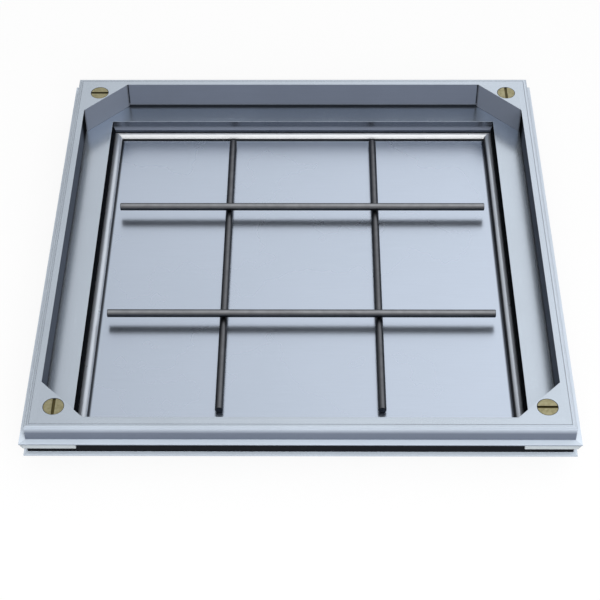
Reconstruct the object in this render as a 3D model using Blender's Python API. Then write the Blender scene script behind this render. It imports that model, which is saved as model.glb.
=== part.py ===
"""Recessed manhole cover: a mitred aluminium frame and the infill tray that lifts out of it.

Metres, +Z up. The origin is under the middle of the cover, on the plane that the frame stands on.
"""

import math

import bmesh
import bpy
from mathutils import Matrix, Vector

# Driving dimensions shared by all pieces
GAP = 0.0003
MERGE_DISTANCE = 0.00003
ROUND_SIDES = 32
INNER_SIDES = 20
SHARP_ANGLE = 35

# Driving dimensions of the frame extrusion
OPENING_WIDTH = 0.600
SKIRT_THICKNESS = 0.003
BEDDING_FOOT_REACH = 0.018
BEDDING_FOOT_THICKNESS = 0.003
SEAT_THICKNESS = 0.004
LIP_WIDTH = 0.00585
LIP_ROUND = 0.0042
LIP_ROUND_STEPS = 5
UPPER_FLANGE_DEPTH = 0.0235
UPPER_FLANGE_REACH = 0.008
UPPER_FLANGE_THICKNESS = 0.002
LOWER_FLANGE_RISE = 0.001
LOWER_FLANGE_REACH = 0.005
LOWER_FLANGE_THICKNESS = 0.003
GROUND_CLEARANCE = 0.005

# Driving dimensions of the corner cleats
CLEAT_LEG = 0.072
CLEAT_HEIGHT = 0.0065
CLEAT_CHAMFER = 0.0047

# Driving dimensions of the seal on the seat
SEAL_WIDTH = 0.010
SEAL_THICKNESS = 0.002
SEAL_MARGIN = 0.0033

# Driving dimensions of the tray extrusion
RIM_GAP = 0.0003
RIM_WIDTH = 0.00835
RIM_HEAD_DEPTH = 0.009
RIM_HEAD_SLOPE = 0.002
TRAY_WALL = 0.005
GROOVE_HEIGHT = 0.005
GROOVE_BACK = 0.002
LEDGE_DEPTH = 0.0425
LEDGE_WIDTH = 0.0377
LEDGE_THICKNESS = 0.003
OPENING_CLEARANCE = 0.0032
BOX_WALL = 0.003
BOX_DEPTH = 0.0247
KEY_RIB_DROP = 0.0088
KEY_RIB_HEIGHT = 0.006
KEY_RIB_REACH = 0.003
TRAY_FOOT_REACH = 0.0188
TRAY_FOOT_THICKNESS = 0.0025

# Driving dimensions of the bed: plate, beads and rods
PLATE_THICKNESS = 0.003
BEAD_WIDTH = 0.013
BEAD_HEIGHT = 0.006
BEAD_WALL_GAP = 0.0015
BEAD_STEPS = 10
ROD_DIAMETER = 0.011
ROD_SPACING = 0.214
ROD_END_CLEARANCE = 0.0123
ROD_END_CHAMFER = 0.0006
CROSS_ROD_SHIFT = 0.0027

# Driving dimensions of the corner gussets and their plugs
PLUG_HEAD_DIAMETER = 0.0264
PLUG_HEAD_THICKNESS = 0.0035
PLUG_HEAD_CHAMFER = 0.0004
PLUG_SHANK_DIAMETER = 0.016
PLUG_SHANK_LENGTH = 0.014
PLUG_RECESS_CLEARANCE = 0.0005
PLUG_TO_EDGE = 0.0014
PLUG_SLOT_WIDTH = 0.004
PLUG_SLOT_DEPTH = 0.0016
PLUG_SEAL_THICKNESS = 0.0015
PLUG_SEAL_MARGIN = 0.0006
GUSSET_FLOOR = 0.0024
GUSSET_WALL = 0.0025
SOCKET_WALL = 0.0028
SOCKET_GAP = 0.0015

# Driving dimensions of the lock bolts, washers and nuts
BOLT_DIAMETER = 0.008
BOLT_HEAD_DIAMETER = 0.013
BOLT_HEAD_HEIGHT = 0.008
BOLT_HEX = 0.006
BOLT_HEX_DEPTH = 0.004
BOLT_HOLE_CLEARANCE = 0.0005
BOLT_END_STICKOUT = 0.001
WASHER_THICKNESS = 0.0016
WASHER_CLEARANCE = 0.0003
NUT_WIDTH = 0.014
NUT_HEIGHT = 0.0065
NUT_CLEARANCE = 0.0017

# Distances from the middle, from the opening inwards
HALF_OPENING = OPENING_WIDTH / 2
BOX_OUTER = HALF_OPENING - OPENING_CLEARANCE
BOX_INNER = BOX_OUTER - BOX_WALL
KEY_RIB_INNER = BOX_INNER - KEY_RIB_REACH
TRAY_FOOT_INNER = BOX_INNER - TRAY_FOOT_REACH
PLATE_HALF = BOX_INNER - GAP
BEAD_OUTER = BOX_INNER - BEAD_WALL_GAP
BEAD_INNER = BEAD_OUTER - BEAD_WIDTH
ROD_HALF_LENGTH = BEAD_INNER - ROD_END_CLEARANCE

# Distances from the middle, from the opening outwards
SKIRT_OUTER = HALF_OPENING + SKIRT_THICKNESS
BEDDING_FOOT_OUTER = HALF_OPENING + BEDDING_FOOT_REACH
LOCK_HALF = SKIRT_OUTER + NUT_CLEARANCE + NUT_WIDTH / 2
TRAY_WALL_INNER = BOX_INNER + LEDGE_WIDTH
TRAY_WALL_OUTER = TRAY_WALL_INNER + TRAY_WALL
GROOVE_OUTER = TRAY_WALL_OUTER - GROOVE_BACK
RIM_OUTER = TRAY_WALL_INNER + RIM_WIDTH
LIP_INNER = RIM_OUTER + RIM_GAP
WALL_OUTER = LIP_INNER + LIP_WIDTH
UPPER_FLANGE_OUTER = WALL_OUTER + UPPER_FLANGE_REACH
LOWER_FLANGE_OUTER = WALL_OUTER + LOWER_FLANGE_REACH

# Depths below the top face
GROOVE_DEPTH = LEDGE_DEPTH - GROOVE_HEIGHT
LEDGE_BOTTOM = LEDGE_DEPTH + LEDGE_THICKNESS
SEAL_DEPTH = LEDGE_BOTTOM + GAP
SEAT_DEPTH = SEAL_DEPTH + SEAL_THICKNESS + GAP
SEAT_BOTTOM = SEAT_DEPTH + SEAT_THICKNESS
UPPER_FLANGE_BOTTOM = UPPER_FLANGE_DEPTH + UPPER_FLANGE_THICKNESS
LOWER_FLANGE_BOTTOM = SEAT_BOTTOM - LOWER_FLANGE_RISE
LOWER_FLANGE_DEPTH = LOWER_FLANGE_BOTTOM - LOWER_FLANGE_THICKNESS
CLEAT_DEPTH = UPPER_FLANGE_BOTTOM + GAP
KEY_RIB_DEPTH = LEDGE_DEPTH + KEY_RIB_DROP
BED_DEPTH = LEDGE_DEPTH + BOX_DEPTH
TRAY_FOOT_DEPTH = BED_DEPTH + PLATE_THICKNESS + GAP
TRAY_BOTTOM = TRAY_FOOT_DEPTH + TRAY_FOOT_THICKNESS
FRAME_HEIGHT = TRAY_BOTTOM + GROUND_CLEARANCE
BEDDING_FOOT_DEPTH = FRAME_HEIGHT - BEDDING_FOOT_THICKNESS
PLUG_SEAL_DEPTH = PLUG_HEAD_THICKNESS + GAP
PLUG_RECESS_DEPTH = PLUG_SEAL_DEPTH + PLUG_SEAL_THICKNESS + GAP
GUSSET_PLATE = PLUG_RECESS_DEPTH + GUSSET_FLOOR
SOCKET_DEPTH = GUSSET_PLATE + GAP
WASHER_BOTTOM = LEDGE_DEPTH - GAP
WASHER_DEPTH = WASHER_BOTTOM - WASHER_THICKNESS
BOLT_HEAD_BOTTOM = WASHER_DEPTH - GAP
NUT_DEPTH = SEAT_BOTTOM + GAP
BOLT_END_DEPTH = NUT_DEPTH + NUT_HEIGHT + BOLT_END_STICKOUT

# Radii and fits of the lock
SOCKET_BORE_RADIUS = PLUG_SHANK_DIAMETER / 2 + GAP
SOCKET_OUTER_RADIUS = SOCKET_BORE_RADIUS + SOCKET_WALL
PLUG_RECESS_RADIUS = PLUG_HEAD_DIAMETER / 2 + PLUG_RECESS_CLEARANCE
GUSSET_FACE = max(PLUG_RECESS_RADIUS + PLUG_TO_EDGE, SOCKET_OUTER_RADIUS + SOCKET_GAP + GUSSET_WALL)
GUSSET_HALF = TRAY_WALL_INNER - GAP
GUSSET_LEG = 2 * (GUSSET_HALF - LOCK_HALF) + math.sqrt(2) * GUSSET_FACE
PLUG_SEAL_OUTER_RADIUS = PLUG_HEAD_DIAMETER / 2 - PLUG_SEAL_MARGIN
WASHER_OUTER_RADIUS = SOCKET_BORE_RADIUS - WASHER_CLEARANCE
BOLT_HOLE_RADIUS = BOLT_DIAMETER / 2 + BOLT_HOLE_CLEARANCE
SEAL_INNER = LOCK_HALF + BOLT_HOLE_RADIUS + SEAL_MARGIN
MITRE_SHIFT = GAP / math.sqrt(2)

# Sides and corners, each a quarter turn on from the one before it
SIDES = ("front", "right", "back", "left")
CORNERS = ("back_right", "back_left", "front_left", "front_right")


def height(depth):
    """Height above the ground of a depth below the top face."""
    return FRAME_HEIGHT - depth


def finish(name, colour, roughness, metallic):
    """A plain material in the colour of the real piece."""
    material = bpy.data.materials.new(name)
    material.use_nodes = True
    shader = material.node_tree.nodes["Principled BSDF"]
    shader.inputs["Base Color"].default_value = (*colour, 1.0)
    shader.inputs["Roughness"].default_value = roughness
    shader.inputs["Metallic"].default_value = metallic
    return material


def mesh_from(name, build):
    """A mesh whose faces are made by build, closed and facing out."""
    shape = bmesh.new()
    build(shape)
    bmesh.ops.recalc_face_normals(shape, faces=shape.faces)
    mesh = bpy.data.meshes.new(name)
    shape.to_mesh(mesh)
    shape.free()
    return mesh


def shade_round(mesh):
    """Smooth shading with the true edges kept sharp."""
    mesh.shade_smooth()
    mesh.set_sharp_from_angle(angle=math.radians(SHARP_ANGLE))
    return mesh


def place(name, mesh, material, parent, location=(0, 0, 0), quarter_turns=0):
    """One named piece, set by its place and its quarter turns about the vertical."""
    piece = bpy.data.objects.new(name, mesh)
    if not mesh.materials:
        mesh.materials.append(material)
    bpy.context.scene.collection.objects.link(piece)
    piece.location = location
    piece.rotation_euler = (0, 0, quarter_turns * math.pi / 2)
    piece.parent = parent
    return piece


def cut(body, *cutters):
    """The body mesh with each cutter mesh taken out of it."""
    collection = bpy.context.scene.collection
    work = bpy.data.objects.new(body.name, body)
    collection.objects.link(work)
    knives = []
    for cutter in cutters:
        knife = bpy.data.objects.new("knife", cutter)
        collection.objects.link(knife)
        knives.append(knife)
        boolean = work.modifiers.new("cut", "BOOLEAN")
        boolean.operation = "DIFFERENCE"
        boolean.solver = "EXACT"
        boolean.object = knife
    graph = bpy.context.evaluated_depsgraph_get()
    result = bpy.data.meshes.new_from_object(work.evaluated_get(graph))
    for helper in (work, *knives):
        bpy.data.objects.remove(helper)
    return result


def mitred_rail(name, profile):
    """A front rail: a profile of (distance from middle, depth) run between two mitred ends."""
    def build(shape):
        ends = []
        for way in (-1, 1):
            ring = []
            for reach, depth in profile:
                along = way * (reach - MITRE_SHIFT)
                ring.append(shape.verts.new((along, -reach, height(depth))))
            ends.append(ring)
        first, last = ends
        shape.faces.new(first)
        shape.faces.new(reversed(last))
        for index in range(len(profile)):
            following = (index + 1) % len(profile)
            shape.faces.new((first[index], last[index], last[following], first[following]))
    return mesh_from(name, build)


def turned(name, profile, sides=ROUND_SIDES):
    """A turned piece about the vertical: a closed profile of (radius, height)."""
    def build(shape):
        points = [shape.verts.new((radius, 0, level)) for radius, level in profile]
        edges = []
        for index, point in enumerate(points):
            edges.append(shape.edges.new((point, points[(index + 1) % len(points)])))
        bmesh.ops.spin(
            shape, geom=points + edges, cent=(0, 0, 0), axis=(0, 0, 1),
            angle=2 * math.pi, steps=sides, use_merge=True)
        bmesh.ops.remove_doubles(shape, verts=shape.verts, dist=MERGE_DISTANCE)
        bmesh.ops.dissolve_degenerate(shape, edges=shape.edges, dist=MERGE_DISTANCE)
    return shade_round(mesh_from(name, build))


def prism(name, outline, low, high):
    """An upright prism over an outline of (x, y) points."""
    def build(shape):
        floor = [shape.verts.new((x, y, low)) for x, y in outline]
        roof = [shape.verts.new((x, y, high)) for x, y in outline]
        shape.faces.new(floor)
        shape.faces.new(roof)
        for index in range(len(outline)):
            following = (index + 1) % len(outline)
            shape.faces.new((floor[index], floor[following], roof[following], roof[index]))
    return mesh_from(name, build)


def circle(radius, sides=ROUND_SIDES, centre=(0, 0)):
    """Points on a circle in plan."""
    points = []
    for step in range(sides):
        turn = 2 * math.pi * step / sides
        points.append((centre[0] + radius * math.cos(turn), centre[1] + radius * math.sin(turn)))
    return points


def rectangle(half_x, half_y):
    """Points of a rectangle in plan about the origin."""
    return [(-half_x, -half_y), (half_x, -half_y), (half_x, half_y), (-half_x, half_y)]


def frame_profile():
    """Section of the frame: seat, lip, wall, two outer flanges, skirt and bedding foot."""
    points = [(HALF_OPENING, SEAT_DEPTH), (LIP_INNER, SEAT_DEPTH), (LIP_INNER, 0)]
    fillet = min(LIP_ROUND, LIP_WIDTH - GAP)
    for step in range(LIP_ROUND_STEPS + 1):
        turn = math.pi / 2 * step / LIP_ROUND_STEPS
        points.append((WALL_OUTER - fillet * (1 - math.sin(turn)), fillet * (1 - math.cos(turn))))
    return points + [
        (WALL_OUTER, UPPER_FLANGE_DEPTH),
        (UPPER_FLANGE_OUTER, UPPER_FLANGE_DEPTH),
        (UPPER_FLANGE_OUTER, UPPER_FLANGE_BOTTOM),
        (WALL_OUTER, UPPER_FLANGE_BOTTOM),
        (WALL_OUTER, LOWER_FLANGE_DEPTH),
        (LOWER_FLANGE_OUTER, LOWER_FLANGE_DEPTH),
        (LOWER_FLANGE_OUTER, LOWER_FLANGE_BOTTOM),
        (WALL_OUTER, LOWER_FLANGE_BOTTOM),
        (WALL_OUTER, SEAT_BOTTOM),
        (SKIRT_OUTER, SEAT_BOTTOM),
        (SKIRT_OUTER, BEDDING_FOOT_DEPTH),
        (BEDDING_FOOT_OUTER, BEDDING_FOOT_DEPTH),
        (BEDDING_FOOT_OUTER, FRAME_HEIGHT),
        (HALF_OPENING, FRAME_HEIGHT),
    ]


def tray_profile():
    """Section of the tray: rim, wall with a keying groove, ledge, box wall with a keying rib, and foot."""
    return [
        (TRAY_WALL_INNER, 0),
        (RIM_OUTER, 0),
        (RIM_OUTER, RIM_HEAD_DEPTH),
        (TRAY_WALL_OUTER, RIM_HEAD_DEPTH + RIM_HEAD_SLOPE),
        (TRAY_WALL_OUTER, LEDGE_BOTTOM),
        (BOX_OUTER, LEDGE_BOTTOM),
        (BOX_OUTER, TRAY_BOTTOM),
        (TRAY_FOOT_INNER, TRAY_BOTTOM),
        (TRAY_FOOT_INNER, TRAY_FOOT_DEPTH),
        (BOX_INNER, TRAY_FOOT_DEPTH),
        (BOX_INNER, KEY_RIB_DEPTH + KEY_RIB_HEIGHT),
        (KEY_RIB_INNER, KEY_RIB_DEPTH + KEY_RIB_HEIGHT),
        (BOX_INNER, KEY_RIB_DEPTH),
        (BOX_INNER, LEDGE_DEPTH),
        (GROOVE_OUTER, LEDGE_DEPTH),
        (GROOVE_OUTER, GROOVE_DEPTH),
        (TRAY_WALL_INNER, GROOVE_DEPTH),
    ]


def seal_profile():
    """Section of the flat rubber strip between the ledge and the seat."""
    outer = SEAL_INNER + SEAL_WIDTH
    bottom = SEAL_DEPTH + SEAL_THICKNESS
    return [(SEAL_INNER, SEAL_DEPTH), (outer, SEAL_DEPTH), (outer, bottom), (SEAL_INNER, bottom)]


def bead_profile():
    """Section of the half-round bead, flat side down on the plate."""
    middle = (BEAD_OUTER + BEAD_INNER) / 2
    points = []
    for step in range(BEAD_STEPS + 1):
        turn = math.pi * step / BEAD_STEPS
        reach = middle - BEAD_WIDTH / 2 * math.cos(turn)
        points.append((reach, BED_DEPTH - GAP - BEAD_HEIGHT * math.sin(turn)))
    return points


def bolt_hole_pair(name, top, bottom):
    """Upright round cutters at both ends of a front rail, where the lock bolts pass."""
    holes = []
    for way in (-1, 1):
        outline = circle(BOLT_HOLE_RADIUS, INNER_SIDES, (way * LOCK_HALF, -LOCK_HALF))
        holes.append(prism(f"{name}_{way}", outline, height(bottom), height(top)))
    return holes


def cleat_mesh():
    """An L-shaped joiner round the back right corner, under the upper flange."""
    outer = UPPER_FLANGE_OUTER
    inner = WALL_OUTER + GAP
    end = outer - CLEAT_LEG
    outline = [
        (end, inner), (inner, inner), (inner, end), (outer, end),
        (outer, outer - CLEAT_CHAMFER), (outer - CLEAT_CHAMFER, outer), (end, outer),
    ]
    return prism("corner_cleat", outline, height(CLEAT_DEPTH + CLEAT_HEIGHT), height(CLEAT_DEPTH))


def gusset_mesh():
    """The back right gusset: a triangular top plate and a diagonal wall, bored for the plug."""
    corner = GUSSET_HALF
    tip = corner - GUSSET_LEG
    inner_tip = tip + GUSSET_WALL * math.sqrt(2)
    top = height(0)
    under = height(GUSSET_PLATE)
    bottom = height(LEDGE_DEPTH - GAP)

    def build(shape):
        def point(x, y, z):
            return shape.verts.new((x, y, z))
        corner_top, corner_under = point(corner, corner, top), point(corner, corner, under)
        right_top, right_low = point(corner, tip, top), point(corner, tip, bottom)
        back_top, back_low = point(tip, corner, top), point(tip, corner, bottom)
        right_under, right_inner = point(corner, inner_tip, under), point(corner, inner_tip, bottom)
        back_under, back_inner = point(inner_tip, corner, under), point(inner_tip, corner, bottom)
        shape.faces.new((corner_top, back_top, right_top))
        shape.faces.new((right_top, back_top, back_low, right_low))
        shape.faces.new((corner_under, right_under, back_under))
        shape.faces.new((right_under, right_inner, back_inner, back_under))
        shape.faces.new((right_low, back_low, back_inner, right_inner))
        shape.faces.new((corner_top, right_top, right_low, right_inner, right_under, corner_under))
        shape.faces.new((corner_top, corner_under, back_under, back_inner, back_low, back_top))

    body = mesh_from("corner_gusset", build)
    axis = (LOCK_HALF, LOCK_HALF)
    recess = prism(
        "recess", circle(PLUG_RECESS_RADIUS, centre=axis), height(PLUG_RECESS_DEPTH), top + GUSSET_PLATE)
    bore = prism("bore", circle(SOCKET_BORE_RADIUS, centre=axis), under - GUSSET_PLATE, top)
    return cut(body, recess, bore)


def socket_mesh():
    """A tube from the gusset's plate down to the ledge."""
    low = GAP - LEDGE_DEPTH
    high = -SOCKET_DEPTH
    return turned("lock_socket", [
        (SOCKET_BORE_RADIUS, high), (SOCKET_OUTER_RADIUS, high),
        (SOCKET_OUTER_RADIUS, low), (SOCKET_BORE_RADIUS, low)], INNER_SIDES)


def plug_mesh():
    """A slotted plug with a wide flat head and a round shank, its head flush with the top."""
    head = PLUG_HEAD_DIAMETER / 2
    shank = PLUG_SHANK_DIAMETER / 2
    shank_end = -PLUG_HEAD_THICKNESS - PLUG_SHANK_LENGTH
    body = turned("plug", [
        (0, 0), (head - PLUG_HEAD_CHAMFER, 0), (head, -PLUG_HEAD_CHAMFER),
        (head, -PLUG_HEAD_THICKNESS), (shank, -PLUG_HEAD_THICKNESS), (shank, shank_end), (0, shank_end)])
    slot = prism(
        "slot", rectangle(PLUG_SLOT_WIDTH / 2, PLUG_HEAD_DIAMETER), -PLUG_SLOT_DEPTH, PLUG_SLOT_DEPTH)
    return shade_round(cut(body, slot))


def plug_seal_mesh():
    """A flat rubber ring under the plug's head."""
    high = -PLUG_SEAL_DEPTH
    low = high - PLUG_SEAL_THICKNESS
    return turned("plug_seal", [
        (SOCKET_BORE_RADIUS, high), (PLUG_SEAL_OUTER_RADIUS, high),
        (PLUG_SEAL_OUTER_RADIUS, low), (SOCKET_BORE_RADIUS, low)], INNER_SIDES)


def washer_mesh():
    """A flat washer on the ledge."""
    bore = BOLT_DIAMETER / 2 + WASHER_CLEARANCE
    return turned("lock_washer", [
        (bore, -WASHER_DEPTH), (WASHER_OUTER_RADIUS, -WASHER_DEPTH),
        (WASHER_OUTER_RADIUS, -WASHER_BOTTOM), (bore, -WASHER_BOTTOM)], INNER_SIDES)


def bolt_mesh():
    """A cap screw with a hexagon socket in its head."""
    head = BOLT_HEAD_DIAMETER / 2
    shank = BOLT_DIAMETER / 2
    head_top = -BOLT_HEAD_BOTTOM + BOLT_HEAD_HEIGHT
    body = turned("lock_bolt", [
        (0, head_top), (head, head_top), (head, -BOLT_HEAD_BOTTOM), (shank, -BOLT_HEAD_BOTTOM),
        (shank, -BOLT_END_DEPTH), (0, -BOLT_END_DEPTH)], INNER_SIDES)
    hexagon = circle(BOLT_HEX / math.sqrt(3), sides=6)
    key_hole = prism("key_hole", hexagon, head_top - BOLT_HEX_DEPTH, head_top + BOLT_HEX_DEPTH)
    return shade_round(cut(body, key_hole))


def nut_mesh():
    """A square nut under the seat."""
    low = -NUT_DEPTH - NUT_HEIGHT
    body = prism("lock_nut", rectangle(NUT_WIDTH / 2, NUT_WIDTH / 2), low, -NUT_DEPTH)
    bore = prism("nut_bore", circle(BOLT_HOLE_RADIUS, INNER_SIDES), low - NUT_HEIGHT, -NUT_DEPTH + NUT_HEIGHT)
    return cut(body, bore)


def rod_mesh():
    """A straight round rod along Y, with its ends just broken."""
    radius = ROD_DIAMETER / 2
    tip = radius - ROD_END_CHAMFER
    shoulder = ROD_HALF_LENGTH - ROD_END_CHAMFER
    mesh = turned("bed_rod", [
        (0, ROD_HALF_LENGTH), (tip, ROD_HALF_LENGTH), (radius, shoulder),
        (radius, -shoulder), (tip, -ROD_HALF_LENGTH), (0, -ROD_HALF_LENGTH)])
    mesh.transform(Matrix.Rotation(math.pi / 2, 4, "X"))
    return mesh


def lock_axis(turns):
    """The top of the lock's axis at a corner, that many quarter turns from the back right."""
    corner = Vector((LOCK_HALF, LOCK_HALF, height(0)))
    return Matrix.Rotation(turns * math.pi / 2, 4, "Z") @ corner


def build_frame(frame, metals):
    """The fixed frame: rails, corner cleats, seat seals and lock nuts."""
    rail = cut(
        mitred_rail("frame_rail", frame_profile()),
        *bolt_hole_pair("seat_hole", SEAT_DEPTH - SEAL_THICKNESS, SEAT_BOTTOM + SEAL_THICKNESS))
    seal = mitred_rail("seat_seal", seal_profile())
    for turns, side in enumerate(SIDES):
        place(f"frame_rail_{side}", rail, metals["frame"], frame, quarter_turns=turns)
        place(f"seat_seal_{side}", seal, metals["rubber"], frame, quarter_turns=turns)
    cleat = cleat_mesh()
    nut = nut_mesh()
    for turns, corner in enumerate(CORNERS):
        place(f"corner_cleat_{corner}", cleat, metals["cleat"], frame, quarter_turns=turns)
        place(f"lock_nut_{corner}", nut, metals["steel"], frame, lock_axis(turns), turns)


def build_tray(cover, metals):
    """The cover: tray rails, base plate, beads, gussets and lock sockets."""
    rail = cut(
        mitred_rail("tray_rail", tray_profile()),
        *bolt_hole_pair("ledge_hole", LEDGE_DEPTH - LEDGE_THICKNESS, LEDGE_BOTTOM + LEDGE_THICKNESS))
    bead = shade_round(mitred_rail("bed_bead", bead_profile()))
    for turns, side in enumerate(SIDES):
        place(f"tray_rail_{side}", rail, metals["tray"], cover, quarter_turns=turns)
        place(f"bed_bead_{side}", bead, metals["bead"], cover, quarter_turns=turns)
    plate = prism(
        "base_plate", rectangle(PLATE_HALF, PLATE_HALF),
        height(BED_DEPTH + PLATE_THICKNESS), height(BED_DEPTH))
    place("base_plate", plate, metals["plate"], cover)
    gusset = gusset_mesh()
    socket = socket_mesh()
    for turns, corner in enumerate(CORNERS):
        place(f"corner_gusset_{corner}", gusset, metals["tray"], cover, quarter_turns=turns)
        place(f"lock_socket_{corner}", socket, metals["steel"], cover, lock_axis(turns), turns)


def build_rods(cover, metals):
    """Two rods on the plate, and two across on top of them."""
    rod = rod_mesh()
    low = height(BED_DEPTH) + GAP + ROD_DIAMETER / 2
    high = low + ROD_DIAMETER + GAP
    for name, way in (("left", -1), ("right", 1)):
        place(f"bed_rod_{name}", rod, metals["rod"], cover, (way * ROD_SPACING / 2, 0, low))
    for name, way in (("front", -1), ("back", 1)):
        across = way * ROD_SPACING / 2 + CROSS_ROD_SHIFT
        place(f"bed_rod_{name}", rod, metals["rod"], cover, (0, across, high), 1)


def build_locks(cover, metals):
    """At each corner a brass plug over its seal, and a lock bolt on its washer."""
    plug = plug_mesh()
    plug_seal = plug_seal_mesh()
    bolt = bolt_mesh()
    washer = washer_mesh()
    for turns, corner in enumerate(CORNERS):
        axis = lock_axis(turns)
        place(f"plug_{corner}", plug, metals["brass"], cover, axis, turns)
        place(f"plug_seal_{corner}", plug_seal, metals["rubber"], cover, axis, turns)
        place(f"lock_bolt_{corner}", bolt, metals["steel"], cover, axis, turns)
        place(f"lock_washer_{corner}", washer, metals["steel"], cover, axis, turns)


def main():
    """Clear the scene and build the frame, and the cover that lifts out of it."""
    for old in list(bpy.data.objects):
        bpy.data.objects.remove(old)
    metals = {
        "frame": finish("frame_aluminium", (0.60, 0.66, 0.74), 0.35, 1.0),
        "tray": finish("tray_aluminium", (0.58, 0.64, 0.73), 0.32, 1.0),
        "plate": finish("plate_aluminium", (0.62, 0.67, 0.75), 0.30, 1.0),
        "bead": finish("bead_aluminium", (0.80, 0.83, 0.88), 0.15, 1.0),
        "cleat": finish("cleat_nylon", (0.66, 0.70, 0.72), 0.50, 0.0),
        "rod": finish("rod_steel", (0.10, 0.10, 0.11), 0.35, 1.0),
        "steel": finish("lock_steel", (0.45, 0.46, 0.48), 0.30, 1.0),
        "brass": finish("plug_brass", (0.42, 0.36, 0.16), 0.35, 1.0),
        "rubber": finish("seal_rubber", (0.02, 0.02, 0.02), 0.70, 0.0),
    }
    frame = bpy.data.objects.new("frame", None)
    cover = bpy.data.objects.new("cover", None)
    for group in (frame, cover):
        bpy.context.scene.collection.objects.link(group)
    cover.parent = frame
    build_frame(frame, metals)
    build_tray(cover, metals)
    build_rods(cover, metals)
    build_locks(cover, metals)


main()
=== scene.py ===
"""Looks of a recessed manhole cover: an aluminium frame, and the infill tray that lifts out of it."""

import math

import bmesh
import bpy
from mathutils import Matrix, Vector


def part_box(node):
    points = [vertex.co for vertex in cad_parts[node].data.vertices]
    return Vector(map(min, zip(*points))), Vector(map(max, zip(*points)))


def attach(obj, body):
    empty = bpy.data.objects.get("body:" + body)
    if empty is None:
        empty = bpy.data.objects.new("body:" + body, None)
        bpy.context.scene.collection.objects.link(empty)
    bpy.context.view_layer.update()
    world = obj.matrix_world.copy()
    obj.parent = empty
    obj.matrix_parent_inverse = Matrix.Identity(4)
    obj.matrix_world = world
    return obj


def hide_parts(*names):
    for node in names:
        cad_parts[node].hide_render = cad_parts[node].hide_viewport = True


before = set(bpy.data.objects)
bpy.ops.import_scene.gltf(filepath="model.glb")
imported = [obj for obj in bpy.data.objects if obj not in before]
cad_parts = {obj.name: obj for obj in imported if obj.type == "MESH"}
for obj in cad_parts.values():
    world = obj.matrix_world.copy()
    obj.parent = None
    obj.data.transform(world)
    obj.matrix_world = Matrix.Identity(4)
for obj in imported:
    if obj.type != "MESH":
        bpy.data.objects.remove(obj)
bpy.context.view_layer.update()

# Frame rails: four mitred lengths of one aluminium extrusion, with a rounded lip, a wall, two outer
# flanges, a seat and a skirt that ends in a bedding foot. The corners are welded and ground flush, so
# the mitres close up. Lip and flanges are brushed. Light and shade are painted on: the lip's crown, the
# top of its wall and the flanges are painted lighter as light, more on the side lengths; the walls keep
# a dull skin, darkened as painted shade; the slot and the joint beside the tray are painted dark as
# shade.
SIDES = ("front", "right", "back", "left")
# Painted light: the lip's colour is laid on the faces that look up and on a band at the top of its wall.
FRAME_LIT_COLOUR = (0.50, 0.56, 0.635)
# Painted light: the flanges are painted lighter, more on the side lengths than on the front and back.
FLANGE_LIT_COLOUR = {"x": (0.57, 0.64, 0.72), "y": (0.67, 0.745, 0.835)}
# The walls keep a dull skin, darkened further as painted shade.
FRAME_SKIN_AND_SHADE = (0.118, 0.137, 0.177)
# Painted shade: the slot between the flanges is painted near black.
FRAME_SLOT_SHADE = (0.010, 0.011, 0.013)
FRAME_EDGE_BREAK = 0.0004
# Painted shade along the joint between the frame's lip and the tray's rim, stronger on the front and
# back.
JOINT_SHADE = (0.10, 0.11, 0.13)
JOINT_SHADE_SHARE = {"x": 0.35, "y": 0.18}
JOINT_EDGE_BREAK = 0.0002
MERGE_DISTANCE = 0.00001
FLAT_ANGLE = math.radians(0.5)
SHARP_ANGLE = math.radians(30)
SMOOTH_ANGLE = math.radians(40)
PARALLEL = 0.999
MITRE_FACING = 0.6
X_WAY = Vector((1, 0, 0))


def hold(piece):
    """Makes a piece the only selected one, and the active one."""
    bpy.ops.object.select_all(action="DESELECT")
    piece.select_set(True)
    bpy.context.view_layer.objects.active = piece


def edit(piece):
    """Opens a piece in edit mode with nothing picked."""
    hold(piece)
    bpy.ops.object.mode_set(mode="EDIT")
    bpy.ops.mesh.select_all(action="DESELECT")


def leave():
    """Leaves edit mode."""
    bpy.ops.object.mode_set(mode="OBJECT")


def pick(piece, kind, wanted):
    """Picks the verts, edges or faces of the piece in edit mode that a test wants."""
    bpy.ops.mesh.select_mode(type={"verts": "VERT", "edges": "EDGE", "faces": "FACE"}[kind])
    shape = bmesh.from_edit_mesh(piece.data)
    for elements in (shape.verts, shape.edges, shape.faces):
        for element in elements:
            element.select_set(False)
    for element in getattr(shape, kind):
        if wanted(element):
            element.select_set(True)
    shape.select_flush_mode()
    bmesh.update_edit_mesh(piece.data)


def is_sharp(edge):
    """Whether the two faces of an edge meet at a true corner."""
    return len(edge.link_faces) == 2 and edge.calc_face_angle() > SHARP_ANGLE


def runs_along(edge, way):
    """Whether an edge runs along a direction."""
    run = (edge.verts[1].co - edge.verts[0].co).normalized()
    return abs(run.dot(way)) > PARALLEL


def copy_of(cad_name, name):
    """A copy of a CAD piece, its triangles merged back into whole flat faces."""
    piece = bpy.data.objects.new(name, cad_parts[cad_name].data.copy())
    bpy.context.scene.collection.objects.link(piece)
    edit(piece)
    bpy.ops.mesh.select_all(action="SELECT")
    bpy.ops.mesh.customdata_custom_splitnormals_clear()
    bpy.ops.mesh.remove_doubles(threshold=MERGE_DISTANCE)
    bpy.ops.mesh.dissolve_limited(angle_limit=FLAT_ANGLE)
    leave()
    return piece


def close_mitres(piece, cad_name):
    """Moves both mitred ends of a front rail out to the diagonal, where the next rail meets it."""
    low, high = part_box(cad_name)
    shift = -low.y - high.x
    edit(piece)
    for way in (-1, 1):
        pick(piece, "faces", lambda face: min(face.normal.x * way, face.normal.y) > MITRE_FACING)
        bpy.ops.transform.translate(value=(way * shift, 0, 0))
    leave()


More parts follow.
